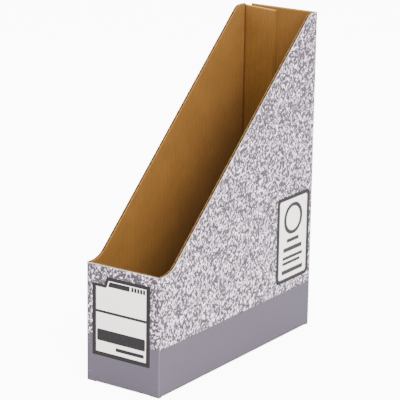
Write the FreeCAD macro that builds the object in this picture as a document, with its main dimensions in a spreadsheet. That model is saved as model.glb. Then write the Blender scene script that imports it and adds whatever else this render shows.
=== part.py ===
import FreeCAD, Part
import math
import os
import Sketcher
from FreeCAD import Vector

# Magazine file: an upright holder folded from one die-cut blank of corrugated
# board.  Four walls, a glue flap inside the back wall and four base flaps.
# Each panel has three plies: the outer liner, the fluting (the wavy middle
# sheet) and the inner liner.
#
# Frame: +Z up, front wall facing -Y, width along X.  The origin is the centre
# of the footprint, on the surface the holder stands on.

os.makedirs("parts", exist_ok=True)
doc = FreeCAD.newDocument("magazine_file")
parts = []

# ---------------------------------------------------------------- dimensions
DRIVING = [
    # outside of the folded holder
    ("width", 84),
    ("depth", 260),
    ("height", 322),
    ("front_height", 116),
    # the board: whole thickness, each liner, the fluting sheet, one wave
    ("board", 3),
    ("liner", 0.3),
    ("medium", 0.25),
    ("flute_pitch", 6.5),
    # the sloped front edge of the two side walls, measured from the front face
    ("slope_foot", 17),
    ("slope_head", 246.5),
    ("slope_head_left", 241),
    ("foot_radius", 26),
    ("head_radius", 13),
    # back wall: its left edge stops short of the left face
    ("back_gap", 7),
    # glue flap, glued to the inside of the back wall; both ends taper
    ("flap_width", 38.5),
    ("flap_drop", 1.2),
    ("flap_taper", 1.8),
    ("flap_foot", 9),
    ("flap_foot_rise", 12),
    # glue strip: inset from the back wall's left edge, rise above the flap's
    # foot, and how much shorter it is than the height above that foot
    ("glue_width", 26),
    ("glue_film", 0.1),
    ("glue_inset", 3),
    ("glue_rise", 5),
    ("glue_shortfall", 20),
    # right and left base flaps: the seam, and the gaps to the end walls
    ("seam_gap", 1.4),
    ("base_near_gap", 1),
    ("base_far_gap", 4),
    # front and back base flaps ("dust"): the slopes are sideways run per depth
    ("dust_depth", 22),
    ("dust_start", 1.3),
    ("dust_start_top", 0.4),
    ("dust_side_gap", 1.5),
    ("dust_close_gap", 3),
    ("dust_close_slope", 2),
    ("dust_open_slope", 1),
]

# Levels through a panel, from outside to inside:
#   face     outside of the outer liner
#   skin     where the outer liner meets the fluting
#   lining   where the fluting meets the inner liner
#   inside   inside of the inner liner
# Columns: panel, its face, the sign of the way inwards.
PANELS = [
    ("right", "width / 2", "-"),
    ("left", "-width / 2", "+"),
    ("front", "-depth / 2", "+"),
    ("back", "depth / 2", "-"),
    ("floor", "0", "+"),
    ("dust", "floor_inside", "+"),
]
DERIVED = []
for panel, face, inward in PANELS:
    DERIVED += [
        (panel + "_face", face),
        (panel + "_skin", "%s_face %s liner" % (panel, inward)),
        (panel + "_lining", "%s_face %s (board - liner)" % (panel, inward)),
        (panel + "_inside", "%s_face %s board" % (panel, inward)),
    ]
DERIVED += [
    # ends of the slope, along Y
    ("foot_place", "front_face + slope_foot"),
    ("right_head", "front_face + slope_head"),
    ("left_head", "front_face + slope_head_left"),
    # left edge of the back wall
    ("back_edge", "left_face + back_gap"),
    # glue flap: levels along Y, free edge along X, ends along Z
    ("flap_face", "back_inside - glue_film"),
    ("flap_skin", "flap_face - liner"),
    ("flap_inside", "back_inside - board"),
    ("flap_lining", "flap_inside + liner"),
    ("flap_free", "left_face + flap_width"),
    ("flap_foot_free", "flap_foot + flap_foot_rise"),
    ("flap_top", "height - flap_drop"),
    ("flap_top_free", "flap_top - flap_taper"),
    # right and left base flaps: seam along X, ends along Y
    ("right_seam", "seam_gap / 2"),
    ("left_seam", "-seam_gap / 2"),
    ("right_base_front", "front_inside + base_near_gap"),
    ("right_base_back", "back_inside - base_far_gap"),
    ("left_base_front", "front_inside + base_far_gap"),
    ("left_base_back", "back_inside - base_near_gap"),
    # front base flap: corners along X at the crease and at the free edge
    ("front_dust_left", "left_inside + dust_close_gap"),
    ("front_dust_right", "right_inside - dust_side_gap"),
    ("front_dust_left_free", "front_dust_left + dust_close_slope * dust_depth"),
    ("front_dust_right_free", "front_dust_right - dust_open_slope * dust_depth"),
    # and along Y: crease edge, crease edge of the inner liner, free edge
    ("front_dust_start", "front_inside + dust_start"),
    ("front_dust_start_top", "front_inside + dust_start_top"),
    ("front_dust_end", "front_inside + dust_depth"),
    # back base flap, in the same order
    ("back_dust_left", "left_inside + dust_side_gap"),
    ("back_dust_right", "right_inside - dust_close_gap"),
    ("back_dust_left_free", "back_dust_left + dust_open_slope * dust_depth"),
    ("back_dust_right_free", "back_dust_right - dust_close_slope * dust_depth"),
    ("back_dust_start", "back_inside - dust_start"),
    ("back_dust_start_top", "back_inside - dust_start_top"),
    ("back_dust_end", "back_inside - dust_depth"),
]

dims = doc.addObject("Spreadsheet::Sheet", "dims")
cells = [(alias, str(number)) for alias, number in DRIVING]
cells += [(alias, "=" + formula) for alias, formula in DERIVED]
for row, (alias, content) in enumerate(cells, start=1):
    dims.set("A%d" % row, alias)
    dims.set("B%d" % row, content)
    dims.setAlias("B%d" % row, alias)
doc.recompute()

WAVE_OVERRUN = 7.0   # fluting drawn beyond the faces before it is trimmed
END_OVERRUN = 1.0    # sweeps and cutting prisms carried past the holder
MITRE_REACH = dims.board + 2.0   # mitre cuts carried past the inner face


def size(alias):
    """The number in one cell."""
    return float(getattr(dims, alias))


def sizes(pairs):
    """Pairs of aliases as pairs of numbers."""
    return [(size(u), size(v)) for u, v in pairs]


# ---------------------------------------------------------------- liners
def rectangle(u_first, u_last, v_first, v_last):
    return [(u_first, v_first), (u_last, v_first), (u_last, v_last), (u_first, v_last)]


def liner(name, plane, start, outline):
    """One flat ply: a closed outline of alias pairs, padded by one liner.

    start is the alias of the face that lies first along the plane's normal.
    """
    body = doc.addObject("PartDesign::Body", name)
    origin_plane = [f for f in body.Origin.OriginFeatures if f.Role == plane + "_Plane"][0]
    sketch = body.newObject("Sketcher::SketchObject", name + "_outline")
    sketch.AttachmentSupport = [(origin_plane, "")]
    sketch.MapMode = "FlatFace"
    # the normal of the XZ plane is -Y
    sign = "-" if plane == "XZ" else ""
    sketch.setExpression("AttachmentOffset.Base.z", sign + "dims." + start)

    points = [Vector(u, v, 0) for u, v in sizes(outline)]
    count = len(points)
    for i in range(count):
        sketch.addGeometry(Part.LineSegment(points[i], points[(i + 1) % count]), False)
    for i in range(count):
        sketch.addConstraint(Sketcher.Constraint("Coincident", i, 2, (i + 1) % count, 1))
    for i, point in enumerate(points):
        for kind, letter, distance in (("DistanceX", "u", point.x), ("DistanceY", "v", point.y)):
            added = sketch.addConstraint(Sketcher.Constraint(kind, -1, 1, i, 1, distance))
            sketch.renameConstraint(added, "%s%d" % (letter, i))
    for i, (u, v) in enumerate(outline):
        sketch.setExpression("Constraints.u%d" % i, "dims." + u)
        sketch.setExpression("Constraints.v%d" % i, "dims." + v)

    pad = body.newObject("PartDesign::Pad", name + "_pad")
    pad.Profile = sketch
    pad.setExpression("Length", "dims.liner")
    body.Tip = pad
    doc.recompute()
    parts.append(body)
    return body


def round_corner(body, corner, y, z, radius):
    """Fillet the edge of a side liner that runs along X at (y, z)."""
    base = body.Tip
    names = []
    for number, edge in enumerate(base.Shape.Edges, start=1):
        if len(edge.Vertexes) != 2:
            continue
        span = edge.Vertexes[1].Point.sub(edge.Vertexes[0].Point)
        if abs(span.Length - dims.liner) > 1e-6:
            continue
        middle = edge.CenterOfMass
        if math.hypot(middle.y - y, middle.z - z) < 1e-4:
            names.append("Edge%d" % number)
    fillet = body.newObject("PartDesign::Fillet", "%s_%s_round" % (body.Name, corner))
    fillet.Base = (base, names)
    fillet.setExpression("Radius", "dims." + radius)
    body.Tip = fillet
    doc.recompute()


def side_liner(name, start, back, bottom, head):
    """Liner of a side wall, with its sloped front edge."""
    # an outer liner starts at the front face, an inner one a board behind it
    front = "front_face" if bottom == "floor_face" else "front_inside"
    body = liner(name, "YZ", start,
                 [(front, bottom), (back, bottom), (back, "height"), (head, "height"),
                  ("foot_place", "front_height"), (front, "front_height")])
    round_corner(body, "foot", dims.foot_place, dims.front_height, "foot_radius")
    round_corner(body, "head", size(head), dims.height, "head_radius")


# ---------------------------------------------------------------- fluting
def prism(axis, profile, start, end):
    """A profile swept along an axis.  Its pairs are the other two axes in XYZ order."""
    def place(u, v, along):
        if axis == "X":
            return Vector(along, u, v)
        if axis == "Y":
            return Vector(u, along, v)
        return Vector(u, v, along)

    points = [place(u, v, start) for u, v in profile]
    wire = Part.makePolygon(points + [points[0]])
    return Part.Face(wire).extrude(place(0, 0, end - start))


def wave(first, last, panel):
    """Closed section of the fluting as (place along the run, level) pairs.

    It fills the space between a panel's liners.  Eight points to a wave leave
    a flat at each crest, so that each crest lies against its liner.
    """
    skin, lining = size(panel + "_skin"), size(panel + "_lining")
    middle = (skin + lining) / 2
    half_sheet = dims.medium / 2
    half_rise = abs(skin - lining) / 2 - half_sheet
    pitch = dims.flute_pitch
    first_wave = math.floor((size(first) - WAVE_OVERRUN) / pitch) - 1
    last_wave = math.ceil((size(last) + WAVE_OVERRUN) / pitch) + 1
    line = []
    for number in range(first_wave, last_wave):
        for k in range(8):
            phase = 22.5 + 45.0 * k
            swing = math.cos(math.radians(phase)) / math.cos(math.radians(22.5))
            line.append((pitch * (number + phase / 360), middle + half_rise * swing))
    upper = [(run, level + half_sheet) for run, level in line]
    lower = [(run, level - half_sheet) for run, level in reversed(line)]
    return upper + lower


def fluting(name, sheet_solid, trim):
    """The wavy ply: a swept sheet trimmed to its panel."""
    # a mitre can nick a crest off the last wave: the sheet itself is kept
    pieces = sheet_solid.common(trim).Solids
    feature = doc.addObject("Part::Feature", name)
    feature.Shape = max(pieces, key=lambda piece: piece.Volume)
    parts.append(feature)


def upright(section):
    """Wall fluting, with the flutes upright."""
    return prism("Z", section, -END_OVERRUN, dims.height + END_OVERRUN)


def side_fluting(side, trim):
    section = [(level, run) for run, level in wave("front_face", "back_face", side)]
    fluting(side + "_side_fluting", upright(section), trim)


def side_slab(start, end, head_place):
    """Side wall with its rounded slope, as a slab from x = start to x = end."""
    foot = Vector(start, dims.foot_place, dims.front_height)
    head = Vector(start, head_place, dims.height)
    run = head.sub(foot)
    angle = math.atan2(run.z, run.y)
    slope = Vector(0, math.cos(angle), math.sin(angle))

    def bend(corner, radius, sign):
        """Arc points: level end, middle, slope end.  sign is 1 at the foot, -1 at the head."""
        setback = sign * radius * math.tan(angle / 2)
        level_end = corner.sub(Vector(0, setback, 0))
        rise = radius * (1 - math.cos(angle / 2))
        middle = level_end.add(Vector(0, sign * radius * math.sin(angle / 2), sign * rise))
        return level_end, middle, corner.add(slope * setback)

    foot_level, foot_middle, foot_slope = bend(foot, dims.foot_radius, 1)
    head_level, head_middle, head_slope = bend(head, dims.head_radius, -1)
    bottom_front = Vector(start, dims.front_face, 0)
    bottom_back = Vector(start, dims.back_inside, 0)
    top_back = Vector(start, dims.back_inside, dims.height)
    top_front = Vector(start, dims.front_face, dims.front_height)
    curves = [
        Part.LineSegment(bottom_front, bottom_back),
        Part.LineSegment(bottom_back, top_back),
        Part.LineSegment(top_back, head_level),
        Part.Arc(head_level, head_middle, head_slope),
        Part.LineSegment(head_slope, foot_slope),
        Part.Arc(foot_slope, foot_middle, foot_level),
        Part.LineSegment(foot_level, top_front),
        Part.LineSegment(top_front, bottom_front),
    ]
    face = Part.Face(Part.Wire([curve.toShape() for curve in curves]))
    return face.extrude(Vector(end - start, 0, 0))


def base_mitre(face, outward):
    """Space kept by a 45 degree mitre along the base crease of a side wall."""
    inner = face - outward * MITRE_REACH
    outer = face + outward * END_OVERRUN
    top = dims.height + END_OVERRUN
    profile = [(face, 0), (inner, MITRE_REACH), (inner, top), (outer, top), (outer, 0)]
    return prism("Y", profile, dims.front_face - END_OVERRUN, dims.back_face + END_OVERRUN)


# ---------------------------------------------------------------- walls
def right_side():
    """Right wall; its fluting is mitred at the front and base creases."""
    side_liner("right_side_outer_liner", "right_skin", "back_face", "floor_face", "right_head")
    side_liner("right_side_inner_liner", "right_inside", "back_inside", "floor_inside",
               "right_head")
    face, front, back = dims.right_face, dims.front_face, dims.back_face
    inner, outer = face - MITRE_REACH, face + END_OVERRUN
    front_mitre = upright([(face, front), (inner, front + MITRE_REACH), (inner, back),
                           (outer, back), (outer, front)])
    trim = side_slab(dims.right_lining, dims.right_skin, dims.right_head)
    trim = trim.common(front_mitre)
    trim = trim.common(base_mitre(face, 1))
    side_fluting("right", trim)


def left_side():
    """Left wall: one board short of the back face, where the glue flap turns."""
    side_liner("left_side_outer_liner", "left_face", "back_inside", "floor_face", "left_head")
    side_liner("left_side_inner_liner", "left_lining", "flap_inside", "floor_inside",
               "left_head")
    # square at the front; the back mitre meets the glue flap, clear of the glue
    face, front, back = dims.left_face, dims.front_inside, dims.flap_face
    inner = face + MITRE_REACH
    back_mitre = upright([(face, front), (inner, front), (inner, back - MITRE_REACH),
                          (face, back)])
    trim = side_slab(dims.left_skin, dims.left_lining, dims.left_head)
    trim = trim.common(back_mitre)
    trim = trim.common(base_mitre(face, -1))
    side_fluting("left", trim)


def front_wall():
    """Front wall; its fluting is mitred at the right and square at the left."""
    liner("front_outer_liner", "XZ", "front_skin",
          rectangle("left_skin", "right_skin", "floor_face", "front_height"))
    liner("front_inner_liner", "XZ", "front_inside",
          rectangle("left_skin", "right_inside", "floor_face", "front_height"))
    plan = sizes([("left_skin", "front_skin"), ("right_skin", "front_skin"),
                  ("right_lining", "front_lining"), ("left_skin", "front_lining")])
    fluting("front_fluting", upright(wave("left_face", "right_face", "front")),
            prism("Z", plan, 0, dims.front_height))


def back_wall():
    """Back wall, square at both edges."""
    outline = rectangle("back_edge", "right_skin", "floor_face", "height")
    liner("back_outer_liner", "XZ", "back_face", outline)
    liner("back_inner_liner", "XZ", "back_lining", outline)
    plan = sizes(rectangle("back_edge", "right_skin", "back_lining", "back_skin"))
    fluting("back_fluting", upright(wave("left_face", "right_face", "back")),
            prism("Z", plan, 0, dims.height))


# ---------------------------------------------------------------- glue flap
def glue_flap():
    """Flap turned from the left wall; both ends taper to its free edge."""
    def outline(wall_edge):
        return [(wall_edge, "flap_foot"), ("flap_free", "flap_foot_free"),
                ("flap_free", "flap_top_free"), (wall_edge, "flap_top")]

    liner("glue_flap_outer_liner", "XZ", "flap_face", outline("left_skin"))
    liner("glue_flap_inner_liner", "XZ", "flap_lining", outline("left_inside"))
    trim = prism("Y", sizes(outline("left_skin")), dims.flap_lining, dims.flap_skin)
    beyond = dims.flap_free + END_OVERRUN
    trim = trim.common(upright([(dims.left_face, dims.back_inside), (beyond, dims.back_inside),
                                (beyond, dims.flap_inside),
                                (dims.left_inside, dims.flap_inside)]))
    fluting("glue_flap_fluting", upright(wave("left_face", "flap_free", "flap")), trim)


def glue_strip():
    """The dried glue between the flap and the back wall."""
    glue = doc.addObject("Part::Box", "glue_strip")
    for target, expression in (
            ("Length", "dims.glue_width"),
            ("Width", "dims.glue_film"),
            ("Height", "dims.height - dims.flap_foot_free - dims.glue_shortfall"),
            ("Placement.Base.x", "dims.back_edge + dims.glue_inset"),
            ("Placement.Base.y", "dims.flap_face"),
            ("Placement.Base.z", "dims.flap_foot_free + dims.glue_rise")):
        glue.setExpression(target, expression)
    doc.recompute()
    parts.append(glue)


# ---------------------------------------------------------------- base flaps
def side_base_flap(side):
    """Right or left flap: on the ground, flutes across the holder, meeting at a seam."""
    name = side + "_base_flap"
    seam, front, back = side + "_seam", side + "_base_front", side + "_base_back"
    skin, lining, inside = side + "_skin", side + "_lining", side + "_inside"
    liner(name + "_outer_liner", "XY", "floor_face", rectangle(seam, skin, front, back))
    liner(name + "_inner_liner", "XY", "floor_lining", rectangle(seam, inside, front, back))
    profile = sizes([(seam, "floor_skin"), (skin, "floor_skin"),
                     (lining, "floor_lining"), (seam, "floor_lining")])
    sheet_solid = prism("X", wave("front_face", "back_face", "floor"),
                        dims.left_face - END_OVERRUN, dims.right_face + END_OVERRUN)
    fluting(name + "_fluting", sheet_solid, prism("Y", profile, size(front), size(back)))


def end_base_flap(end):
    """Short front or back flap, on top of the other two.

    It is cut back hard on the side where its corner closes when the holder is
    folded flat: the left of the front flap and the right of the back flap.
    """
    name = end + "_base_flap"
    dust = end + "_dust_"

    def outline(start):
        return [(dust + "left", dust + start), (dust + "right", dust + start),
                (dust + "right_free", dust + "end"), (dust + "left_free", dust + "end")]

    # the inner liner, on top, starts nearer the wall
    liner(name + "_outer_liner", "XY", "dust_face", outline("start"))
    liner(name + "_inner_liner", "XY", "dust_lining", outline("start_top"))
    sheet_solid = prism("Y", wave("left_face", "right_face", "dust"),
                        dims.front_face, dims.back_face)
    fluting(name + "_fluting", sheet_solid,
            prism("Z", sizes(outline("start")), dims.dust_skin, dims.dust_lining))


right_side()
left_side()
front_wall()
back_wall()
glue_flap()
glue_strip()
side_base_flap("right")
side_base_flap("left")
end_base_flap("front")
end_base_flap("back")

# ------------------------------------------------------------- check, write
doc.recompute()
for item in doc.Objects:
    for word in item.State:
        if word in ("Invalid", "Error"):
            raise RuntimeError("%s is %s" % (item.Name, word))
for part in parts:
    if part.Shape.isNull() or not part.Shape.isValid():
        raise RuntimeError(part.Label + " has no valid shape")
    if len(part.Shape.Solids) != 1:
        raise RuntimeError("%s has %d solids" % (part.Label, len(part.Shape.Solids)))
for part in parts:
    part.Shape.exportStep("parts/%s.step" % part.Label)
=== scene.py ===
"""A holder folded from corrugated board, open at the top.

It stands on z = 0 and is centred on x and y. The low front wall faces -y, the
tall back wall +y, the right side +x and the left side -x. Four flaps fold in
to make the base. The left side ends in a glue flap inside the back wall.
Each panel is a printed outer liner, a wave of fluting and a kraft inner liner.
Lengths are in mm and build() turns them into metres, unless a comment says so.
"""
import math

import bmesh
import bpy
import numpy as np
from mathutils import Matrix, Vector


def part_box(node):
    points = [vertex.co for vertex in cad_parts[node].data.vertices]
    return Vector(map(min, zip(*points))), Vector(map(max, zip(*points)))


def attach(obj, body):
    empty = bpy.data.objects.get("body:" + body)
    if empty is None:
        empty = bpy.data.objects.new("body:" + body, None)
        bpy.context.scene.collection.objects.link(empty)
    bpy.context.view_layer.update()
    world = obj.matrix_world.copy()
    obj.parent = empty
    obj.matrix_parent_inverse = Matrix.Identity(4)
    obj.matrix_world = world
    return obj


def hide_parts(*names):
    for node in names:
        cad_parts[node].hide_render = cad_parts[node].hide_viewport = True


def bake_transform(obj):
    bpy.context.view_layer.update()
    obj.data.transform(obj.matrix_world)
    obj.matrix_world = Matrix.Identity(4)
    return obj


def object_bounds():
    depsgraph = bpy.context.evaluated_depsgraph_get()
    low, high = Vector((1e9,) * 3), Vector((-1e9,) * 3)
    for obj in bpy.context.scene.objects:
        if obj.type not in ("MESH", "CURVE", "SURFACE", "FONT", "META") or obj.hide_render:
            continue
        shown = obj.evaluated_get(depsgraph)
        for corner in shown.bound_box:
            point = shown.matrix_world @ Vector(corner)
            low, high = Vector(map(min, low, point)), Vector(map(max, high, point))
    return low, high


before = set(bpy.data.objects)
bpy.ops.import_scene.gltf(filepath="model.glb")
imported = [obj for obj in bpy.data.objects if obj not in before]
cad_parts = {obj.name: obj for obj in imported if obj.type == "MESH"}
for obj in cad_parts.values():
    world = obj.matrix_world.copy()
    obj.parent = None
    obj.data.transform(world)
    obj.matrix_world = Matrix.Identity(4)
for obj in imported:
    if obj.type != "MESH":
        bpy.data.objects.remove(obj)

cad_lo, cad_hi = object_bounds()

# ------------------------------------------------------------------ sizes
MM = 0.001


def cad(node):
    """The low and high corners of a CAD piece, in mm."""
    low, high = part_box(node)
    return [c / MM for c in low], [c / MM for c in high]


SIDE_LOW, SIDE_HIGH = cad("right_side_outer_liner")
HALF_X, HALF_Y, HEIGHT = SIDE_HIGH
FRONT_HEIGHT = cad("front_outer_liner")[1][2]
BOARD = HALF_X - cad("right_side_inner_liner")[0][0]    # thickness of the board
LINER = SIDE_HIGH[0] - SIDE_LOW[0]                      # thickness of a liner
BACK_LEFT = cad("back_outer_liner")[0][0]               # free edge of the back wall
GLUE_FLAP_LOW, GLUE_FLAP_HIGH = cad("glue_flap_inner_liner")
RIGHT_FLAP_LOW, RIGHT_FLAP_HIGH = cad("right_base_flap_outer_liner")
LEFT_FLAP_LOW, LEFT_FLAP_HIGH = cad("left_base_flap_outer_liner")
GLUE_LOW, GLUE_HIGH = cad("glue_strip")

CORNER_R = 1.7     # outside radius of the upright creases
TIGHT_R = 0.45     # the same at the back left, folded hard against the back wall
BASE_R = 1.3       # outside radius of the creases under the side walls
PITCH = 6.5        # from one flute to the next
WAVE = 2 * math.pi / PITCH
SAG = 0.05         # the liner dips this much between two flutes
FLUTING = 0.2      # thickness of the fluting sheet
GAP = 0.02         # clearance between plies
PLY = LINER - GAP  # modelled thickness of a liner
STEP = PITCH / 10.0    # column spacing of the liners


def upper_edge(node):
    """The upper outline of a CAD side wall as y -> z, read from its own mesh."""
    heights = {}
    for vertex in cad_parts[node].data.vertices:
        y = round(vertex.co.y / MM, 3)
        heights[y] = max(heights.get(y, 0.0), vertex.co.z / MM)
    outline = [(y, z) for y, z in sorted(heights.items()) if z > FRONT_HEIGHT * 0.9]
    ys, zs = zip(*outline)
    return lambda across: float(np.interp(across, ys, zs))


NOISE = np.random.default_rng(7).uniform(-1, 1, 4096)


def wobble(across, seed, step=1.3):
    """Repeatable smooth wobble along a cut edge, -1 to 1."""
    place = across / step + 977.3 + seed * 131.7
    cell = math.floor(place)
    blend = rise(place - cell, 0.0, 1.0)
    return NOISE[cell % 4096] * (1 - blend) + NOISE[(cell + 1) % 4096] * blend


def rise(value, low, high):
    """0 below low, 1 above high, smooth between."""
    part = min(1.0, max(0.0, (value - low) / (high - low)))
    return part * part * (3 - 2 * part)


# ------------------------------------------------------------------ shader graph
class Value:
    """A node output on which +, - and * make Math nodes."""

    def __init__(self, graph, socket):
        self.graph, self.socket = graph, socket

    def __add__(self, other):
        return self.graph.math("ADD", self, other)

    def __radd__(self, other):
        return self.graph.math("ADD", other, self)

    def __sub__(self, other):
        return self.graph.math("SUBTRACT", self, other)

    def __rsub__(self, other):
        return self.graph.math("SUBTRACT", other, self)

    def __mul__(self, other):
        return self.graph.math("MULTIPLY", self, other)


class Graph:
    """A new material and short calls for building its node tree."""

    SOFT = 0.12    # half the blur at the edge of a printed shape

    def __init__(self, name):
        self.material = bpy.data.materials.new(name)
        self.material.use_nodes = True
        self.tree = self.material.node_tree
        self.tree.nodes.clear()
        self.count = 0
        output = self.add("ShaderNodeOutputMaterial")
        self.shader = self.add("ShaderNodeBsdfPrincipled")
        self.tree.links.new(self.shader.outputs[0], output.inputs[0])
        self.rest = self.attribute("rest", "Vector")

    def add(self, kind, **settings):
        node = self.tree.nodes.new(kind)
        node.location = ((self.count % 12) * 190, -(self.count // 12) * 210)
        self.count += 1
        for key, setting in settings.items():
            setattr(node, key, setting)
        return node

    def put(self, socket, value):
        if isinstance(value, Value):
            self.tree.links.new(value.socket, socket)
        else:
            socket.default_value = value

    def surface(self, inputs):
        """Sets inputs of the Principled shader by name."""
        for key, value in inputs.items():
            self.put(self.shader.inputs[key], value)

    def attribute(self, name, output="Fac"):
        node = self.add("ShaderNodeAttribute", attribute_name=name)
        return Value(self, node.outputs[output])

    def math(self, operation, first, second=0.0, clamp=False):
        node = self.add("ShaderNodeMath", operation=operation, use_clamp=clamp)
        self.put(node.inputs[0], first)
        self.put(node.inputs[1], second)
        return Value(self, node.outputs[0])

    def larger(self, first, second):
        return self.math("MAXIMUM", first, second)

    def clamped(self, first, second):
        return self.math("MULTIPLY", first, second, clamp=True)

    def length(self, first, second):
        return self.math("SQRT", first * first + second * second)

    def vector(self, x, y, z):
        node = self.add("ShaderNodeCombineXYZ")
        for i, value in enumerate((x, y, z)):
            self.put(node.inputs[i], value)
        return Value(self, node.outputs[0])

    def split(self, vector):
        node = self.add("ShaderNodeSeparateXYZ")
        self.put(node.inputs[0], vector)
        return [Value(self, output) for output in node.outputs]

    def noise(self, vector, scale, detail=2.0, rough=0.5):
        node = self.add("ShaderNodeTexNoise")
        self.put(node.inputs["Vector"], vector)
        self.put(node.inputs["Scale"], scale)
        self.put(node.inputs["Detail"], detail)
        self.put(node.inputs["Roughness"], rough)
        return Value(self, node.outputs["Fac"])

    def step(self, value, low, high):
        """0 below low, 1 above high, smooth between."""
        node = self.add("ShaderNodeMapRange", interpolation_type="SMOOTHSTEP", clamp=True)
        self.put(node.inputs["Value"], value)
        self.put(node.inputs["From Min"], low)
        self.put(node.inputs["From Max"], high)
        return Value(self, node.outputs["Result"])

    def mix(self, factor, first, second):
        node = self.add("ShaderNodeMix", data_type="RGBA")
        self.put(node.inputs[0], factor)
        self.put(node.inputs[6], first)
        self.put(node.inputs[7], second)
        return Value(self, node.outputs[2])

    def beyond(self, value, low, high, radius=0.0):
        """How far value lies outside the span from low to high, less a corner radius."""
        return self.math("ABSOLUTE", value - (low + high) / 2) - ((high - low) / 2 - radius)

    def rect(self, across, up, box):
        """1 inside a rectangle; box is left, right, bottom, top."""
        outside = self.larger(self.beyond(across, *box[:2]), self.beyond(up, *box[2:]))
        return 1.0 - self.step(outside, -self.SOFT, self.SOFT)

    def round_rect(self, across, up, box, radius):
        """1 inside a rectangle with round corners."""
        outside_x = self.larger(self.beyond(across, *box[:2], radius), 0.0)
        outside_z = self.larger(self.beyond(up, *box[2:], radius), 0.0)
        outside = self.length(outside_x, outside_z)
        return 1.0 - self.step(outside, radius - self.SOFT, radius + self.SOFT)

    def bump(self, height, strength, distance):
        """Surface relief; distance is in metres."""
        node = self.add("ShaderNodeBump")
        self.put(node.inputs["Height"], height)
        node.inputs["Strength"].default_value = strength
        node.inputs["Distance"].default_value = distance
        self.put(self.shader.inputs["Normal"], Value(self, node.outputs[0]))


def srgb(red, green, blue):
    """An 8-bit display colour as linear RGBA."""
    linear = []
    for channel in (red, green, blue):
        channel /= 255.0
        low = channel <= 0.04045
        linear.append(channel / 12.92 if low else ((channel + 0.055) / 1.055) ** 2.4)
    return (*linear, 1.0)


# ------------------------------------------------------------------ printed liner
SPECKLE_DARK = srgb(67, 58, 66)
SPECKLE_MID = srgb(107, 96, 107)
SPECKLE_LIGHT = srgb(255, 238, 255)
BAND = srgb(80, 73, 85)
BAND_CLOUD = srgb(89, 82, 94)
BAND_DOT = srgb(112, 105, 118)
INK = srgb(14, 9, 13)
MARK_INK = srgb(30, 25, 29)
FIELD = srgb(255, 249, 245)
# rubbed ink, and along the upright folds also a painted highlight
WORN_AND_FOLD_HIGHLIGHT = srgb(226, 221, 226)
# painted highlight along the printed liners' cut edges
CUT_EDGE_HIGHLIGHT = srgb(238, 228, 216)


def label_plane(graph, position, half_width, z):
    """Distance from the wall's low edge and height, with the slight waver of print."""
    def waver(vector):
        return (graph.noise(vector, scale=1.5, detail=1.0) - 0.5) * 0.16

    across = position + half_width + waver(graph.rest)
    return across, z + waver(graph.vector(z, position, 5.0))


def front_label(graph, x, y, z, colour):
    """A framed field with a slanted tab, and plain marks inside it."""
    across, up = label_plane(graph, x, HALF_X, z)

    def rect(*box):
        return graph.rect(across, up, box)

    def tab(box, left):
        """A rectangle whose left edge leans; left is that edge's x at z = 97.2."""
        slant = across - (up - 97.2) * 0.36
        return rect(*box) * graph.step(slant, left, left + 0.2)

    outer_tab = tab((0.0, 73.2, 96.0, 105.8), left=20.7)
    outer = graph.larger(rect(7.1, 73.2, 27.3, 97.8), outer_tab)
    inner_tab = tab((0.0, 68.8, 93.0, 102.2), left=24.0)
    inner = graph.larger(rect(11.4, 68.8, 31.5, 94.8), inner_tab)
    colour = graph.mix(outer, colour, INK)
    colour = graph.mix(inner, colour, FIELD)
    # a tab bar, a writing line, a closing bar and a short rule
    marks = tab((20.0, 50.0, 96.4, 101.4), left=25.2)
    marks = graph.larger(marks, rect(11.4, 68.8, 69.8, 72.4))
    closing_bar = graph.round_rect(across, up, (12.4, 67.8, 42.2, 53.8), radius=1.4)
    marks = graph.larger(marks, closing_bar)
    marks = graph.larger(marks, rect(34.0, 66.4, 35.0, 38.6))
    for i in range(5):       # a row of blank index boxes beside the tab bar
        marks = graph.larger(marks, rect(51.8 + 3.3 * i, 54.4 + 3.3 * i, 96.8, 101.2))
    return graph.mix(marks, colour, INK)


# left, right, bottom, top
SIDE_LABEL_BARS = (
    (214.0, 236.0, 96.8, 100.6),
    (208.0, 242.0, 87.6, 92.0),
    (207.0, 243.5, 79.6, 82.8),
    (207.0, 239.0, 74.4, 77.4),
    (206.0, 244.5, 64.8, 69.2),
)


def side_label(graph, x, y, z, colour):
    """A framed field with a ring over five bars."""
    across, up = label_plane(graph, y, HALF_Y, z)

    def round_rect(*box, radius):
        return graph.round_rect(across, up, box, radius)

    colour = graph.mix(round_rect(195.3, 254.8, 56.3, 144.9, radius=5.6), colour, INK)
    colour = graph.mix(round_rect(200.4, 250.0, 60.4, 140.9, radius=2.6), colour, FIELD)
    marks = (round_rect(208.0, 242.0, 104.5, 136.5, radius=15.9)
             - round_rect(212.6, 237.4, 108.2, 132.8, radius=12.2))
    for bar in SIDE_LABEL_BARS:
        marks = graph.larger(marks, graph.rect(across, up, bar))
    return graph.mix(marks, colour, MARK_INK)


def distance_round(graph, x, y):
    """Distance round the outside, unbroken at every fold but the open back left corner."""
    side = graph.math("GREATER_THAN", y, 0.0) * 2.0 - 1.0
    around = y + side * (HALF_X - x)
    leftward = -2.0 * (HALF_X + HALF_Y) - y - side * (x + HALF_X)
    behind = graph.math("GREATER_THAN", y, 0.0) * graph.math("LESS_THAN", y, HALF_Y - 1.5)
    on_glue_flap = behind * graph.math("LESS_THAN", x, HALF_X - 5.0)
    at_left = graph.larger(graph.math("LESS_THAN", x, -HALF_X + 2.2), on_glue_flap)
    return around + at_left * (leftward - around)


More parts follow.
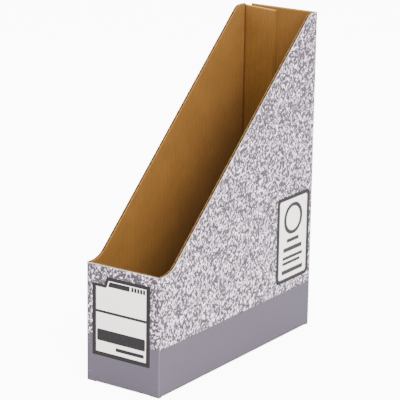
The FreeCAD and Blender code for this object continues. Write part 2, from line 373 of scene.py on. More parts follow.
def speckle_value(graph, along, z, extra_dark):
    """Crossing strokes, light over dark; low values take the most ink."""
    def warp(vector):
        return (graph.noise(vector, scale=0.30, detail=2.0) - 0.5) * 2.6

    warp_along = warp(graph.rest)
    warp_up = warp(graph.vector(z, along, 40.0))
    across = along + warp_along
    up = z + warp_up

    def strokes(degrees, length, width, seed):
        cosine, sine = math.cos(math.radians(degrees)), math.sin(math.radians(degrees))
        lengthwise = across * cosine + up * sine
        widthwise = up * cosine - across * sine
        vector = graph.vector(lengthwise * (1.0 / length), widthwise * (1.0 / width), seed)
        return graph.noise(vector, scale=1.0, detail=1.2, rough=0.45)

    flat = strokes(degrees=38, length=5.2, width=2.2, seed=3.7)
    leaning = strokes(degrees=118, length=4.6, width=2.1, seed=11.3)
    steep = strokes(degrees=78, length=3.4, width=1.9, seed=23.9)
    fine = graph.noise(graph.vector(across, up, 71.0), scale=0.75, detail=2.0, rough=0.6)
    body = graph.larger(graph.larger(flat, leaning), steep)
    value = body * 0.74 + fine * 0.30
    if extra_dark:
        value = value - extra_dark
    # a little darker towards the top
    return value - (z - 110.0) * 0.00007


def foot_band(graph):
    """The plain grey band, faintly clouded and dotted."""
    cloud = graph.noise(graph.rest, scale=0.02, detail=3.0, rough=0.6)
    band = graph.mix(graph.clamped(cloud - 0.5, 0.5), BAND, BAND_CLOUD)
    dots = graph.noise(graph.rest, scale=2.6, detail=1.0, rough=0.5)
    return graph.mix(graph.step(dots, low=0.56, high=0.72) * 0.12, band, BAND_DOT)


def wear_and_fold_highlight(graph, x, y, z):
    """How far the ink is rubbed off along the upright folds and the foot; along the upright folds
    the lightening is also a painted highlight.
    """
    from_side = HALF_X - graph.math("ABSOLUTE", x)
    from_end = HALF_Y - graph.math("ABSOLUTE", y)
    corner = graph.larger(from_side, from_end)
    # rubbed ink with a painted highlight: lighter along the upright folds
    fold_rub_and_highlight = 1.0 - graph.step(corner, low=0.35, high=1.3)
    foot = 1.0 - graph.step(z, low=0.25, high=1.1)
    least, patchy = 0.0, 0.12    # even share and patchy share of the wear
    patches = least + graph.noise(graph.rest, scale=0.5, detail=4.0, rough=0.7) * patchy
    return graph.larger(fold_rub_and_highlight, foot * 0.7) * patches


def printed(name, label=None, extra_dark=0.0):
    """White-top board printed with a speckle over a plain grey foot band."""
    graph = Graph(name)
    x, y, z = graph.split(graph.rest)
    along = distance_round(graph, x, y)
    value = speckle_value(graph, along, z, extra_dark)
    light = graph.step(value, low=0.590, high=0.664)
    dark = 1.0 - graph.step(value, low=0.542, high=0.610)
    speckle = graph.mix(light, SPECKLE_MID, SPECKLE_LIGHT)
    speckle = graph.mix(dark, speckle, SPECKLE_DARK)
    # the band's upper edge is ragged: specks bite into it
    ragged_z = z + (value - 0.56) * -9.0
    in_band = 1.0 - graph.step(ragged_z, low=45.4, high=46.2)
    colour = graph.mix(in_band, speckle, foot_band(graph))
    if label:
        colour = label(graph, x, y, z, colour)
    # rubbed ink at the foot and the folds, with a painted highlight along the upright folds
    colour = graph.mix(wear_and_fold_highlight(graph, x, y, z), colour, WORN_AND_FOLD_HIGHLIGHT)
    # painted highlight: the print whitens along each cut edge
    cut_edge_light = graph.attribute("cutness")
    colour = graph.mix(graph.clamped(cut_edge_light, 0.7), colour, CUT_EDGE_HIGHLIGHT)
    graph.surface({
        "Base Color": colour,
        "Roughness": 0.52 + graph.noise(graph.rest, scale=0.8, detail=3.0) * 0.16,
        "Specular IOR Level": 0.32,
    })
    fibre = graph.noise(graph.vector(along * 0.6, z * 0.25, 0.0), scale=3.0, detail=4.0, rough=0.6)
    graph.bump(fibre, strength=0.22, distance=0.00006)
    return graph.material


# ------------------------------------------------------------------ bare paper
FLECK_DARK = srgb(76, 47, 12)
FLECK_LIGHT = srgb(146, 104, 50)
# painted shade for the inside corners of the upright folds
FOLD_SHADE = srgb(84, 46, 0)
INNER_X, INNER_Y = HALF_X - BOARD, HALF_Y - BOARD
# inside corner x and y, reach of the painted shade, strength
FOLD_SHADE_CORNERS = (
    (-INNER_X, HALF_Y - 2 * BOARD, 1.5, 0.92),
    (INNER_X, INNER_Y, 1.1, 0.65),
    (INNER_X, -INNER_Y, 1.1, 0.65),
    (-INNER_X, -INNER_Y, 1.1, 0.65),
)


def kraft(name, tones, fibre_axis="z", flute_axis=None, shade_folds=False, cut_edge_light_amount=0.7,
          cut_edge_light_colour=(213, 161, 87)):
    """Bare paper: fibres along fibre_axis, flecks, and faint flute stripes of painted shade across
    flute_axis.

    tones are the base, dark and light 8-bit colours; the cut-edge colour shows at cut edges,
    partly as the paler cut paper and partly as painted light along the edge.
    """
    base, dark, light = [srgb(*tone) for tone in tones]
    graph = Graph(name)
    x, y, z = graph.split(graph.rest)
    axes = {"x": x, "y": y, "z": z}
    others = [axes[axis] for axis in "xyz" if axis != fibre_axis]

    def stretched(squeeze):
        return graph.vector(axes[fibre_axis] * squeeze, *others)

    streak = graph.noise(stretched(0.10), scale=0.9, detail=5.0, rough=0.62)
    cloud = graph.noise(graph.rest, scale=0.035, detail=4.0, rough=0.55)
    fleck = graph.noise(stretched(0.45), scale=1.9, detail=2.0, rough=0.5)
    colour = graph.mix(graph.step(streak, low=0.32, high=0.68), dark, base)
    colour = graph.mix(graph.step(cloud, low=0.40, high=0.72) * 0.45, colour, light)
    colour = graph.mix(graph.step(fleck, low=0.66, high=0.74) * 0.55, colour, FLECK_DARK)
    pale = 1.0 - graph.step(fleck, low=0.27, high=0.34)
    colour = graph.mix(pale * 0.45, colour, FLECK_LIGHT)
    # painted shade: faint dark stripes at the flute pitch, where the washboard of the flutes would
    # shade the liner
    if flute_axis:
        wave = graph.math("COSINE", axes[flute_axis] * WAVE)
        colour = graph.mix(graph.step(wave, low=-0.2, high=1.0) * 0.22, colour, dark)
    if shade_folds:
        # painted shade: the paper is coloured dark along the inside of each upright fold
        for corner_x, corner_y, reach, strength in FOLD_SHADE_CORNERS:
            away = graph.length(x - corner_x, y - corner_y)
            near = 1.0 - graph.step(away, low=0.35 * reach, high=reach)
            colour = graph.mix(near * strength, colour, FOLD_SHADE)
    # lighter at cut edges: the paler cut paper on the cut faces, and painted light along the edges
    cut_edge_light = graph.attribute("cutness")
    colour = graph.mix(graph.clamped(cut_edge_light, cut_edge_light_amount), colour, srgb(*cut_edge_light_colour))
    graph.surface({
        "Base Color": colour,
        "Roughness": 0.70 + streak * 0.14,
        "Specular IOR Level": 0.22,
        "Sheen Weight": 0.06,
    })
    graph.bump(streak * 0.7 + fleck * 0.3, strength=0.35, distance=0.00010)
    return graph.material


def dried_glue(name):
    graph = Graph(name)
    cloud = graph.noise(graph.rest, scale=0.25, detail=4.0, rough=0.6)
    clear = graph.step(cloud, low=0.35, high=0.65)
    graph.surface({
        "Base Color": graph.mix(clear, srgb(206, 184, 140), srgb(232, 220, 190)),
        "Roughness": 0.28 + cloud * 0.25,
        "Transmission Weight": 0.15,
    })
    graph.bump(cloud, strength=0.4, distance=0.00015)
    return graph.material


PRINT = printed("printed_liner")
# the front wall's speckle is a little darker
PRINT_FRONT = printed("printed_liner_front", front_label, extra_dark=0.013)
PRINT_SIDE = printed("printed_liner_side", side_label)
# base, dark and light tones; the same kraft twice: lighter, as painted light, for KRAFT_SIDE, and
# darker, as painted shade, for KRAFT_END and KRAFT_BASE
SIDE_BROWN_LIT = ((116, 77, 21), (107, 70, 18), (124, 84, 27))
BROWN_SHADED = ((109, 72, 20), (100, 65, 17), (117, 79, 26))
KRAFT_SIDE = kraft("kraft_side_wall", SIDE_BROWN_LIT, flute_axis="y", shade_folds=True,
                   cut_edge_light_amount=0.45, cut_edge_light_colour=(190, 152, 100))
KRAFT_END = kraft("kraft_end_wall", BROWN_SHADED, flute_axis="x", shade_folds=True)
KRAFT_BASE = kraft("kraft_base", BROWN_SHADED, fibre_axis="x", flute_axis="y")
# painted shade: the liners' reverse is seen only through the open flutes, so its kraft is coloured
# dark a little way in from the cut
LINER_BACK_SHADED = kraft("liner_reverse_shaded", ((46, 30, 15), (36, 23, 11), (56, 37, 19)),
                   cut_edge_light_amount=0.6, cut_edge_light_colour=(122, 92, 58))
# the fluting's own kraft brown, darkened much further as painted shade of the flute hollows
MEDIUM_SHADED = kraft("fluting_medium", ((30, 19, 9), (22, 14, 7), (38, 24, 12)),
               cut_edge_light_amount=0.8, cut_edge_light_colour=(124, 98, 68))
CUT_WHITE = kraft("cut_edge_printed", ((222, 210, 194), (196, 182, 162), (240, 232, 220)))
# painted shade: the kraft liners' cut edges are coloured darker than the paper, for the shade they
# sit in
CUT_KRAFT_SHADED = kraft("cut_edge_kraft_shaded", ((112, 86, 56), (92, 70, 44), (132, 104, 72)),
                  cut_edge_light_amount=0.3)
GLUE = dried_glue("dried_glue")

# seen face, hidden face, cut edges
PRINT_SET = (PRINT, LINER_BACK_SHADED, CUT_WHITE)
KRAFT_SIDE_SET = (KRAFT_SIDE, LINER_BACK_SHADED, CUT_KRAFT_SHADED)
KRAFT_END_SET = (KRAFT_END, LINER_BACK_SHADED, CUT_KRAFT_SHADED)
KRAFT_BASE_SET = (KRAFT_BASE, LINER_BACK_SHADED, CUT_KRAFT_SHADED)


# ------------------------------------------------------------------ mesh tools
def build(name, vertices, faces, materials, sharp=38, cutness=None):
    """An object from points in mm and (face, material index) pairs."""
    mesh = bpy.data.meshes.new(name)
    mesh.from_pydata([[c * MM for c in point] for point in vertices], [],
                     [face for face, _ in faces])
    for material in materials:
        mesh.materials.append(material)
    mesh.polygons.foreach_set("material_index", [index for _, index in faces])
    editable = bmesh.new()
    editable.from_mesh(mesh)
    bmesh.ops.recalc_face_normals(editable, faces=editable.faces)
    editable.to_mesh(mesh)
    editable.free()
    mesh.polygons.foreach_set("use_smooth", [True] * len(mesh.polygons))
    mesh.set_sharp_from_angle(angle=math.radians(sharp))
    rest = mesh.attributes.new("rest", "FLOAT_VECTOR", "POINT")
    points = np.zeros(len(mesh.vertices) * 3, np.float32)
    mesh.vertices.foreach_get("co", points)
    rest.data.foreach_set("vector", points / MM)
    if cutness is not None:      # 1 at a cut edge, fading to 0 inside the sheet
        attribute = mesh.attributes.new("cutness", "FLOAT", "POINT")
        attribute.data.foreach_set("value", np.array(cutness, np.float32))
    piece = bpy.data.objects.new(name, mesh)
    bpy.context.scene.collection.objects.link(piece)
    return piece


def shell_faces(columns, rows, caps=(0, 0)):
    """Two facing grids of points and the edges that join them.

    Returns (face, material index) lists for the grids, the end columns and the end rows.
    """
    grids, ends, rims = [], [], []
    other = columns * rows
    for i in range(columns - 1):
        for j in range(rows - 1):
            low = i * rows + j
            quad = (low, low + rows, low + rows + 1, low + 1)
            grids.append((quad, 0))
            grids.append((tuple(other + corner for corner in reversed(quad)), 1))
    for j in range(rows - 1):
        for column, index in ((0, caps[0]), (columns - 1, caps[1])):
            low = column * rows + j
            ends.append(((low, low + 1, other + low + 1, other + low), index))
    for i in range(columns - 1):
        for row in (0, rows - 1):
            low = i * rows + row
            rims.append(((low, low + rows, other + low + rows, other + low), 2))
    return grids, ends, rims


def spread(low, high, step):
    """Even positions from low to high, no more than step apart."""
    count = max(2, int(math.ceil((high - low) / step)))
    return [low + (high - low) * i / count for i in range(count + 1)]


def stations(low, high):
    """Row positions from low to high: close together at both cut ends."""
    span = high - low
    if span < 8:
        return [low + span * part for part in (0, 0.06, 0.2, 0.5, 0.8, 0.94, 1)]
    close = (0.3, 0.75, 1.5)
    first = [low] + [low + inset for inset in close]
    last = [high - inset for inset in reversed(close)] + [high]
    room = last[0] - first[-1]
    count = max(1, int(round(room / 22.0)))
    return first + [first[-1] + room * i / count for i in range(1, count)] + last


def fit_rows(pattern, start, end):
    """The pattern's rows fitted to a column, the close rows keeping their spacing."""
    low, high = pattern[0], pattern[-1]
    if abs((end - start) - (high - low)) < 1e-6:
        return [row - low + start for row in pattern]
    squeeze = min(1.0, (end - start) / 9.0)
    first, last = pattern[3], pattern[-4]
    near = start + (first - low) * squeeze
    far = end - (high - last) * squeeze
    rows = []
    for i, row in enumerate(pattern):
        if i < 4:
            rows.append(start + (row - low) * squeeze)
        elif i >= len(pattern) - 4:
            rows.append(end - (high - row) * squeeze)
        else:
            rows.append(near + (far - near) * (row - first) / (last - first))
    return rows


def at(limit, across):
    """A limit that is either one number or a function of the column."""
    return limit(across) if callable(limit) else limit


def sheet(name, node, body, columns, start, end, faces, place, materials,
          rows=None, cuts="hi"):
    """A thin closed sheet that replaces a CAD node and rides on a body.

    Each column, at a position across the flutes, runs along them from start to
    end. faces are two functions of (across, distance to the cut end), and
    place(across, along, depth) puts a point in the holder's frame. rows is the
    span whose stations every column follows, in place of its own. cuts says
    which ends are cut: "hi", "lo" or "both"; any other end runs into a crease.
    """
    lines = []
    for across in columns:
        low, high = at(start, across), at(end, across)
        lines.append(fit_rows(stations(*(rows or (low, high))), low, high))
    vertices, cutness = [], []
    for face in faces:
        for across, line in zip(columns, lines):
            for along in line:
                from_low, from_high = along - line[0], line[-1] - along
                distance = {"hi": from_high, "lo": from_low,
                            "both": min(from_low, from_high)}[cuts]
                vertices.append(place(across, along, face(across, distance)))
                cutness.append(math.exp(-((distance / 0.55) ** 2)))
    grids, ends, rims = shell_faces(len(columns), len(lines[0]))
    piece = build(name, vertices, grids + ends + rims, materials, cutness=cutness)
    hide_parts(node)
    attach(piece, body)


def on_side(across, along, depth):
    return (depth, across, along)


def on_end(across, along, depth):
    return (across, depth, along)


def on_side_flap(across, along, depth):
    return (along, across, depth)


def on_end_flap(across, along, depth):
    return (across, along, depth)


class Board:
    """A panel between an outer and an inner level, and its three plies.

    The die that cuts the blank pinches the board at its cut ends (press, for the
    outer and inner faces, over width) and along free side edges (pinch, 0 to 1).
    """

    def __init__(self, name, node, body, place, outer, inner, press=(0.22, 0.16), width=0.8,
                 pinch=lambda across: 0.0, cuts="hi"):
        self.name, self.node, self.body, self.place = name, node, body, place
        self.outer, self.inner, self.cuts = outer, inner, cuts
        self.sign = 1 if outer > inner else -1
        self.press, self.width, self.pinch = press, width, pinch

    def faces(self, across, distance):
        pressed = math.exp(-((distance / self.width) ** 2))
        gap = abs(self.outer - self.inner) - 2 * LINER - 0.35
        lift = max(self.press[1] * pressed, gap * self.pinch(across))
        return self.outer - self.sign * self.press[0] * pressed, self.inner + self.sign * lift

    def ply(self, kind, node_kind, columns, start, end, faces, materials, rows):
        sheet(self.name + kind, self.node + node_kind, self.body, columns, start, end,
              faces, self.place, materials, rows, self.cuts)

    def print_ply(self, columns, start, end, materials=PRINT_SET, rows=None):
        """Printed liner on the outside."""
        def seen(across, distance):
            # flush with the creases
            calm = rise(min(across - columns[0], columns[-1] - across), 0.0, 4.0)
            dip = SAG * 0.5 * calm * (0.5 - 0.5 * math.cos(WAVE * across))
            return self.faces(across, distance)[0] - self.sign * dip

        def hidden(across, distance):
            return seen(across, distance) - self.sign * PLY

        self.ply("_print", "_outer_liner", columns, start, end,
                 (seen, hidden), materials, rows)

    def kraft_ply(self, columns, start, end, materials, rows=None):
        """Kraft liner on the inside."""
        def seen(across, distance):
            dip = SAG * 1.6 * (0.5 + 0.5 * math.cos(WAVE * across))
            return self.faces(across, distance)[1] + self.sign * dip

        def hidden(across, distance):
            return seen(across, distance) + self.sign * PLY

        self.ply("_kraft", "_inner_liner", columns, start, end,
                 (seen, hidden), materials, rows)

    def flute_ply(self, low, high, start, end, rows=None):
        """The fluting: a smooth wave of constant sheet thickness between the liners."""
        inset = self.sign * (LINER + SAG + GAP)

        def face(side):
            def depth(across, distance):
                outer, inner = self.faces(across, distance)
                outer -= inset
                inner += inset
                room = abs(outer - inner)
                height = max(0.02, (room - FLUTING) / 2)
                slope = height * WAVE * math.sin(WAVE * across)
                half = min(room * 0.3, FLUTING / 2 * math.sqrt(1 + slope * slope))
                wave = height * math.cos(WAVE * across) + side * half
                return (outer + inner) / 2 + self.sign * wave
            return depth

        self.ply("_flutes", "_fluting", spread(low, high, PITCH / 16.0),
                 start, end, (face(1), face(-1)), (MEDIUM_SHADED,) * 3, rows)


def wall_tops(top, seed):
    """The cut upper ends of a wall's print, kraft and flutes."""
    def edge(shift, below, wander):
        return lambda across: at(top, across) - below + wobble(across + shift, seed) * wander

    return (edge(shift=0, below=0.0, wander=0.035),
            edge(shift=50, below=0.0, wander=0.035),
            edge(shift=9, below=0.05, wander=0.028))


# ------------------------------------------------------------------ side walls
def side_foot(flap_low, flap_high):
    """The wall's skin stops above the base crease, and runs down beside it."""
    def foot(across):
        return BASE_R if flap_low[1] - 0.05 <= across <= flap_high[1] + 0.05 else 0.0
    return foot


def side_columns(low, high, flap_low, flap_high):
    """Even columns, with close ones where the base flap begins and ends."""
    columns = set(round(column, 4) for column in spread(low, high, STEP))
    for mark in (flap_low[1], flap_high[1]):
        for shift in (0.0, 0.1, -0.1):
            columns.add(round(mark + shift, 4))
    return sorted(c for c in columns if low - 0.01 <= c <= high + 0.01)


right = Board("right_side", "right_side", "right_side", on_side, HALF_X, INNER_X)
left = Board("left_side", "left_side", "left_side", on_side, -HALF_X, -INNER_X)
right_tops = wall_tops(upper_edge("right_side_outer_liner"), seed=1)
left_tops = wall_tops(upper_edge("left_side_outer_liner"), seed=2)
LEFT_BACK = HALF_Y - 2 * BOARD    # the left side stops inside the glue flap
PRINT_ROWS = (0, HEIGHT)
INNER_ROWS = (BOARD, HEIGHT)
FLUTE_FOOT = BOARD - 0.3
right.print_ply(
    side_columns(-HALF_Y + CORNER_R, HALF_Y - CORNER_R, RIGHT_FLAP_LOW, RIGHT_FLAP_HIGH),
    side_foot(RIGHT_FLAP_LOW, RIGHT_FLAP_HIGH), right_tops[0],
    (PRINT_SIDE, LINER_BACK_SHADED, CUT_WHITE), PRINT_ROWS)
left.print_ply(
    side_columns(-HALF_Y + CORNER_R, INNER_Y - TIGHT_R, LEFT_FLAP_LOW, LEFT_FLAP_HIGH),
    side_foot(LEFT_FLAP_LOW, LEFT_FLAP_HIGH), left_tops[0], rows=PRINT_ROWS)
right.kraft_ply(spread(-INNER_Y, INNER_Y, STEP), BOARD, right_tops[1], KRAFT_SIDE_SET, INNER_ROWS)
left.kraft_ply(spread(-INNER_Y, LEFT_BACK, STEP), BOARD, left_tops[1], KRAFT_SIDE_SET, INNER_ROWS)
right.flute_ply(-INNER_Y - 0.4, INNER_Y, FLUTE_FOOT, right_tops[2], INNER_ROWS)
left.flute_ply(-INNER_Y, LEFT_BACK, FLUTE_FOOT, left_tops[2], INNER_ROWS)

# ------------------------------------------------------------------ front wall
INNER_FOOT = 0.4    # where the kraft and flutes of the end walls begin
front = Board("front", "front", "front", on_end, -HALF_Y, -INNER_Y)
front_tops = wall_tops(FRONT_HEIGHT, seed=3)
front.print_ply(spread(-HALF_X + CORNER_R, HALF_X - CORNER_R, STEP), BASE_R, front_tops[0],
                (PRINT_FRONT, LINER_BACK_SHADED, CUT_WHITE))
front.kraft_ply(spread(-INNER_X, INNER_X, STEP), INNER_FOOT, front_tops[1], KRAFT_END_SET)
front.flute_ply(-INNER_X - 0.3, INNER_X + 0.3, INNER_FOOT, front_tops[2])


# ------------------------------------------------------------------ back wall
def back_columns(high):
    """Close columns at the pinched free edge, then even ones up to high."""
    close = [round(BACK_LEFT + 0.3 * i, 3) for i in range(9)]
    even = [round(column, 3) for column in spread(BACK_LEFT + 2.8, high, STEP)]
    return sorted(set(close + even))


back = Board("back", "back", "back", on_end, HALF_Y, INNER_Y,
             pinch=lambda across: 1.0 - rise(across, BACK_LEFT + 0.2, BACK_LEFT + 2.4))
back_tops = wall_tops(HEIGHT, seed=4)
back.print_ply(back_columns(HALF_X - CORNER_R), BASE_R, back_tops[0])
back.kraft_ply(back_columns(HALF_X - LINER), INNER_FOOT, back_tops[1], KRAFT_END_SET)
back.flute_ply(BACK_LEFT + 0.3, INNER_X + 0.3, INNER_FOOT, back_tops[2])

# ------------------------------------------------------------------ glue flap
FLAP_EDGE = GLUE_FLAP_HIGH[0]      # x of the flap's free edge
FLAP_FOOT, FLAP_TOP = GLUE_FLAP_LOW[2], GLUE_FLAP_HIGH[2]
FOOT_RISE, TOP_FALL = 12.0, 1.8    # slant of its lower and upper ends
FLAP_OUTER = INNER_Y - 0.1
FLAP_ROWS = (0, 300)


def flap_foot(across):
    return FLAP_FOOT + FOOT_RISE * (across + HALF_X) / (FLAP_EDGE + HALF_X)


def flap_top(across):
    slant = TOP_FALL * (across + HALF_X) / (FLAP_EDGE + HALF_X)
    return FLAP_TOP - slant + wobble(across, 6) * 0.05


def flap_columns(low):
    """Even columns from low, then close ones at the pinched free edge."""
    close = [FLAP_EDGE - 2.6 + 0.26 * i for i in range(11)]
    return spread(low, FLAP_EDGE - 3.0, STEP) + close


glue_flap = Board("glue_flap", "glue_flap", "back", on_end, FLAP_OUTER, LEFT_BACK,
                  press=(0.0, 1.25), width=1.0, cuts="both",
                  pinch=lambda across: rise(across, FLAP_EDGE - 2.6, FLAP_EDGE - 0.2))
glue_flap.print_ply(flap_columns(-HALF_X + TIGHT_R), flap_foot, flap_top,
                    (PRINT, LINER_BACK_SHADED, KRAFT_END), FLAP_ROWS)
glue_flap.kraft_ply(flap_columns(-INNER_X), flap_foot, flap_top,
                    (KRAFT_END, LINER_BACK_SHADED, KRAFT_END), FLAP_ROWS)
glue_flap.flute_ply(-INNER_X, FLAP_EDGE - 0.15, flap_foot,
                    lambda across: flap_top(across) - 0.05, FLAP_ROWS)


# ------------------------------------------------------------------ dried glue
def glue_end(level, seed):
    return lambda across: level + 3.0 * wobble(across, seed, step=4.0)


# a flattened bead with a wandering outline
sheet("glue_bead", "glue_strip", "back",
      spread(GLUE_LOW[0] + 0.6, GLUE_HIGH[0] - 0.6, 0.8),
      glue_end(GLUE_LOW[2] + 4, seed=11), glue_end(GLUE_HIGH[2] - 4, seed=12),
      (lambda across, distance: INNER_Y - 0.002, lambda across, distance: INNER_Y - 0.095),
      on_end, (GLUE,) * 3, rows=(0, 260))


# ------------------------------------------------------------------ base flaps
def side_flap(side, sign, low, high, seed):
    """Right (sign 1) or left (sign -1) base flap, from its fold to the middle seam."""
    seam = low[0] if sign > 0 else high[0]
    board = Board(side + "_base", side + "_base_flap", side + "_base_flap", on_side_flap,
                  0.0, BOARD, press=(0.0, 0.12), cuts="lo" if sign > 0 else "hi")
    columns = spread(low[1], high[1], STEP)

    def ends(seam_end, inset):
        """The seam and the fold, low x first."""
        pair = (seam_end, sign * (HALF_X - inset))
        return pair if sign > 0 else pair[::-1]

    def seam_edge(edge_seed):
        return lambda across: seam + wobble(across, edge_seed) * 0.05

    board.print_ply(columns, *ends(seam_edge(seed), BASE_R))
    board.kraft_ply(columns, *ends(seam_edge(seed + 1), BOARD), KRAFT_BASE_SET)
    board.flute_ply(low[1], high[1], *ends(seam + sign * 0.05, BOARD - 0.3))


side_flap("right", 1, RIGHT_FLAP_LOW, RIGHT_FLAP_HIGH, seed=21)
side_flap("left", -1, LEFT_FLAP_LOW, LEFT_FLAP_HIGH, seed=23)

SKIN_START = 5.3 - BOARD    # from the wall's inner face to the end flap's own skin


def end_flap(side, sign):
    """Front (sign 1) or back (sign -1) base flap; returns its two ends in x."""
    node = side + "_base_flap"
    wall = -sign * INNER_Y
    low, high = cad(node + "_outer_liner")
    depth = (high[1] - wall) if sign > 0 else (wall - low[1])
    low_x, high_x = low[0], high[0]
    # the flap's two slanted sides, from the CAD corner points
    tip = wall + sign * depth
    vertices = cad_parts[node + "_outer_liner"].data.vertices
    tips = [v.co.x / MM for v in vertices if abs(v.co.y / MM - tip) < 0.01]
    tip_low, tip_high = min(tips), max(tips)

    def reach(across):
        part = 1.0
        if across < tip_low:
            part = min(part, (across - low_x) / (tip_low - low_x))
        if across > tip_high:
            part = min(part, (high_x - across) / (high_x - tip_high))
        return max(0.0, part) * depth

    def ends(start):
        """The flap's two ends, low y first; start is measured from the wall."""
        def far(across):
            return wall + sign * max(reach(across), start + 0.25)

        near = wall + sign * start
        return (near, far) if sign > 0 else (far, near)

    def columns(start):
        positions = spread(low_x, high_x, STEP) + [tip_low, tip_high]
        return sorted(c for c in set(round(c, 4) for c in positions) if reach(c) > start + 0.3)

    rows = (0, 21.0)
    board = Board(side + "_base", node, node, on_end_flap, BOARD, 2 * BOARD,
                  press=(0.0, 0.2), cuts="hi" if sign > 0 else "lo")
    board.print_ply(columns(SKIN_START), *ends(SKIN_START), rows=rows)
    board.kraft_ply(columns(0.5), *ends(0.45), KRAFT_SIDE_SET, rows)
    fluted = columns(1.4)
    board.flute_ply(fluted[0], fluted[-1], *ends(1.35), rows)
    return low_x, high_x


front_flap = end_flap("front", 1)
back_flap = end_flap("back", -1)

# ------------------------------------------------------------------ crease tools
# a path point and a position along the axis -> x, y, z
AXIS_PLACES = {
    "x": lambda first, second, along: (along, first, second),
    "y": lambda first, second, along: (first, along, second),
    "z": lambda first, second, along: (first, second, along),
}


def strip(name, path, thickness, span, axis, materials=PRINT_SET,
          caps=(0, 0), step=12.0):
    """A folded liner: path is its outside line in the plane across axis, thickness
    is signed towards its other face, span is its two ends along axis, and caps are
    the material indices where the path begins and ends."""
    outer = np.array(path, float)
    tangent = np.gradient(outer, axis=0)
    tangent /= np.linalg.norm(tangent, axis=1)[:, None]
    normal = np.stack([-tangent[:, 1], tangent[:, 0]], axis=1)
    low, high = span
    count = max(2, int((high - low) / step))
    vertices = []
    for ring in (outer, outer + normal * thickness):
        for first, second in ring:
            for j in range(count + 1):
                along = low + (high - low) * j / count
                vertices.append(AXIS_PLACES[axis](first, second, along))
    grids, ends, rims = shell_faces(len(outer), count + 1, caps)
    return build(name, vertices, grids + rims + ends, materials, sharp=60)


def arc(centre, radius, first, last, count=8):
    """Points on an arc; first and last are angles in degrees."""
    points = []
    for i in range(count + 1):
        angle = math.radians(first + (last - first) * i / count)
        points.append((centre[0] + radius * math.cos(angle),
                       centre[1] + radius * math.sin(angle)))
    return points


# ------------------------------------------------------------------ upright creases
BLEND_Z = 0.05    # metres
# name, first body, second body, signs of x and y, first and last angle, height
CORNERS = (
    ("front_right", "right_side", "front", 1, -1, 0, -90, FRONT_HEIGHT),
    ("front_left", "front", "left_side", -1, -1, -90, -180, FRONT_HEIGHT),
    ("back_right", "right_side", "back", 1, 1, 0, 90, HEIGHT),
)
for name, body, next_body, sign_x, sign_y, first, last, height in CORNERS:
    centre_x, centre_y = sign_x * (HALF_X - CORNER_R), sign_y * (HALF_Y - CORNER_R)
    turn = 1 if last > first else -1
    piece = strip("crease_" + name, arc((centre_x, centre_y), CORNER_R, first, last, count=10),
                  turn * PLY, (0.0, height), "z")
    on_side_wall = (sign_x * HALF_X * MM, centre_y * MM, BLEND_Z)
    on_end_wall = (centre_x * MM, sign_y * HALF_Y * MM, BLEND_Z)
    if body == "right_side":
        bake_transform(piece)
    else:
        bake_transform(piece)

# back left: left wall to glue flap, in two skins that nest at rest and meet in a
# shallow groove at the open pivot when the sleeve is flat
pivot = (-HALF_X + TIGHT_R, FLAP_OUTER - TIGHT_R)
piece = strip("crease_back_left_wall", arc(pivot, TIGHT_R, 180, 90), -PLY,
              (0.0, HEIGHT - 0.4), "z", caps=(0, 1))
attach(piece, "left_side")
piece = strip("crease_back_left_flap", arc(pivot, TIGHT_R - 0.02, 180, 90), -PLY,
              (FLAP_FOOT, HEIGHT - 0.8), "z", caps=(1, 0))
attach(piece, "back")

# the flap's free edge, crushed down onto the back wall
flap_inner = glue_flap.faces(FLAP_EDGE, 50.0)[1]
edge_path = [
    (FLAP_EDGE - 0.5, flap_inner - 0.05),
    (FLAP_EDGE - 0.15, flap_inner + 0.08),
    (FLAP_EDGE + 0.05, flap_inner + 0.3),
    (FLAP_EDGE + 0.12, INNER_Y - 0.06),
]
edge_span = (FLAP_FOOT + FOOT_RISE + 0.2, FLAP_TOP - TOP_FALL - 0.3)
piece = strip("glue_flap_edge", edge_path, PLY * 0.3, edge_span, "z", (KRAFT_END,) * 3)
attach(piece, "back")

# ------------------------------------------------------------------ base creases
# under the right and left walls: side, sign of x, first and last angle, flap corners
for side, sign, first, last, low, high in (
        ("right", 1, 0, -90, RIGHT_FLAP_LOW, RIGHT_FLAP_HIGH),
        ("left", -1, 180, 270, LEFT_FLAP_LOW, LEFT_FLAP_HIGH)):
    centre_x = sign * (HALF_X - BASE_R)
    piece = strip("crease_%s_base" % side, arc((centre_x, BASE_R), BASE_R, first, last),
                  -sign * PLY, (low[1], high[1]), "y")
    side + "_side"
    side + "_base_flap"
    sign * HALF_X * MM
    centre_x * MM
    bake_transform(piece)


def end_crease_path(wall, sign):
    """Outside line of the liner under the front or back wall, as (y, z)."""
    path = []
    for degrees in range(0, 91, 15):
        angle = math.radians(degrees)
        path.append((wall + sign * (BASE_R - BASE_R * math.cos(angle)),
                     BASE_R - BASE_R * math.sin(angle)))
    # flat under the wall, then an S up to the flap's level
    path.append((wall + sign * 2.0, 0.0))
    first_y, first_z = wall + sign * 2.7, 0.06
    last_y, last_z = wall + sign * (BOARD + SKIN_START + 0.05), BOARD
    for i in range(9):
        part = i / 8.0
        path.append((first_y + (last_y - first_y) * part,
                     first_z + (last_z - first_z) * rise(part, 0.0, 1.0)))
    return path


# body, direction in y from the wall to the middle, the wall's low x,
# the crease's low and high x
END_CREASES = (
    ("front", 1, -HALF_X + CORNER_R, front_flap[0] + 5.5, front_flap[1] - 5.5),
    ("back", -1, BACK_LEFT, max(back_flap[0] + 4.0, BACK_LEFT + 0.5), back_flap[1] - 5.5),
)
for body, sign, wall_low, low, high in END_CREASES:
    wall = -sign * HALF_Y
    piece = strip("crease_%s_base" % body, end_crease_path(wall, sign), sign * PLY,
                  (low, high), "x")
    body + "_base_flap"
    wall * MM
    (wall + sign * (BOARD + SKIN_START)) * MM
    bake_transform(piece)

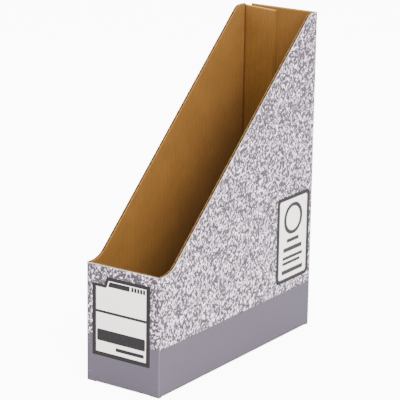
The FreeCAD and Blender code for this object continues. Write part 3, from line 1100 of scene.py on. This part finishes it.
# the liner below the walls' skins where no base crease covers them
for body, sign, wall_low, low, high in END_CREASES:
    wall = -sign * HALF_Y
    path = [(wall, BASE_R), (wall, BASE_R * 0.5), (wall, 0.12), (wall + sign * 0.12, 0.0)]
    for side, span in (("left", (wall_low, low)), ("right", (high, HALF_X - CORNER_R))):
        piece = strip("%s_foot_%s" % (body, side), path, sign * PLY, span, "x", step=4)
        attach(piece, body)

# the fluting squeezed round the inside of each upright crease
for name, body, next_body, sign_x, sign_y, first, last, height in CORNERS:
    path = arc((sign_x * (INNER_X + 0.5), sign_y * (INNER_Y + 0.5)), 1.25, first, last)
    piece = strip("crushed_flute_" + name, path, 0.22 if last > first else -0.22,
                  (0.6, height - 0.35), "z", (MEDIUM_SHADED,) * 3)
    path[0][0] * MM
    path[0][1] * MM
    path[-1][0] * MM
    path[-1][1] * MM
    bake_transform(piece)


# ------------------------------------------------------------------ stage, in metres
def stage_white():
    """Matt white that also glows for every ray but the camera's own, or the reverse:
    the Is Camera Ray switch picks the glowing branch when it is 1."""
    material = bpy.data.materials.new("stage_white")
    material.use_nodes = True
    tree = material.node_tree
    matt = tree.nodes["Principled BSDF"]
    matt.inputs["Base Color"].default_value = (0.93, 0.93, 0.93, 1)
    matt.inputs["Roughness"].default_value = 0.9
    matt.inputs["Specular IOR Level"].default_value = 0.05
    ray = tree.nodes.new("ShaderNodeLightPath")
    glow = tree.nodes.new("ShaderNodeEmission")
    glow.inputs["Strength"].default_value = 9.0
    both = tree.nodes.new("ShaderNodeAddShader")
    pick = tree.nodes.new("ShaderNodeMixShader")
    for output, socket in (
            (matt.outputs[0], both.inputs[0]),
            (glow.outputs[0], both.inputs[1]),
            (ray.outputs["Is Camera Ray"], pick.inputs[0]),
            (matt.outputs[0], pick.inputs[1]),
            (both.outputs[0], pick.inputs[2]),
            (pick.outputs[0], tree.nodes["Material Output"].inputs[0])):
        tree.links.new(output, socket)
    return material


def add_floor(half=6.0, drop=0.0004):
    """A square floor just below the holder."""
    material = stage_white()
    mesh = bpy.data.meshes.new("floor")
    corners = [(-half, -half, 0), (half, -half, 0), (half, half, 0), (-half, half, 0)]
    mesh.from_pydata(corners, [], [(0, 1, 2, 3)])
    mesh.materials.append(material)
    floor = bpy.data.objects.new("floor", mesh)
    floor.location = (0, 0, cad_lo.z - drop)
    bpy.context.scene.collection.objects.link(floor)


def add_world(strength):
    world = bpy.data.worlds.new("studio")
    world.use_nodes = True
    background = world.node_tree.nodes["Background"]
    background.inputs[0].default_value = (1.0, 1.0, 1.0, 1)
    background.inputs[1].default_value = strength
    bpy.context.scene.world = world


def area(name, location, target, size, energy):
    """A square area light aimed at target."""
    light = bpy.data.lights.new(name, "AREA")
    light.shape = "RECTANGLE"
    light.size = light.size_y = size
    light.energy = energy
    lamp = bpy.data.objects.new(name, light)
    lamp.location = location
    lamp.rotation_mode = "QUATERNION"
    aim = Vector(target) - Vector(location)
    lamp.rotation_quaternion = aim.to_track_quat("-Z", "Y")
    bpy.context.scene.collection.objects.link(lamp)


def add_camera():
    lens = bpy.data.cameras.new("camera")
    lens.lens = 178.1
    lens.sensor_width = 36.0
    lens.clip_start, lens.clip_end = 0.05, 30
    camera = bpy.data.objects.new("camera", lens)
    rightward = (0.82119989, 0.57046854, 0.01401413)
    upward = (-0.16804869, 0.21829375, 0.96130509)
    backward = (0.54533511, -0.79177869, 0.2751293)
    location = (1.03203, -1.50573, 0.67530)
    rows = list(zip(rightward, upward, backward, location))
    camera.matrix_world = Matrix(rows + [(0, 0, 0, 1)])
    bpy.context.scene.collection.objects.link(camera)
    bpy.context.scene.camera = camera


add_floor()
add_world(strength=1.7)
area("key", (1.9, -0.9, 1.7), target=(0, 0, 0.15), size=1.6, energy=108)
area("fill", (-1.4, -1.8, 1.3), target=(0, 0, 0.15), size=1.8, energy=9)
area("top", (0.0, 0.2, 2.2), target=(0, 0, 0.1), size=1.8, energy=40)
add_camera()
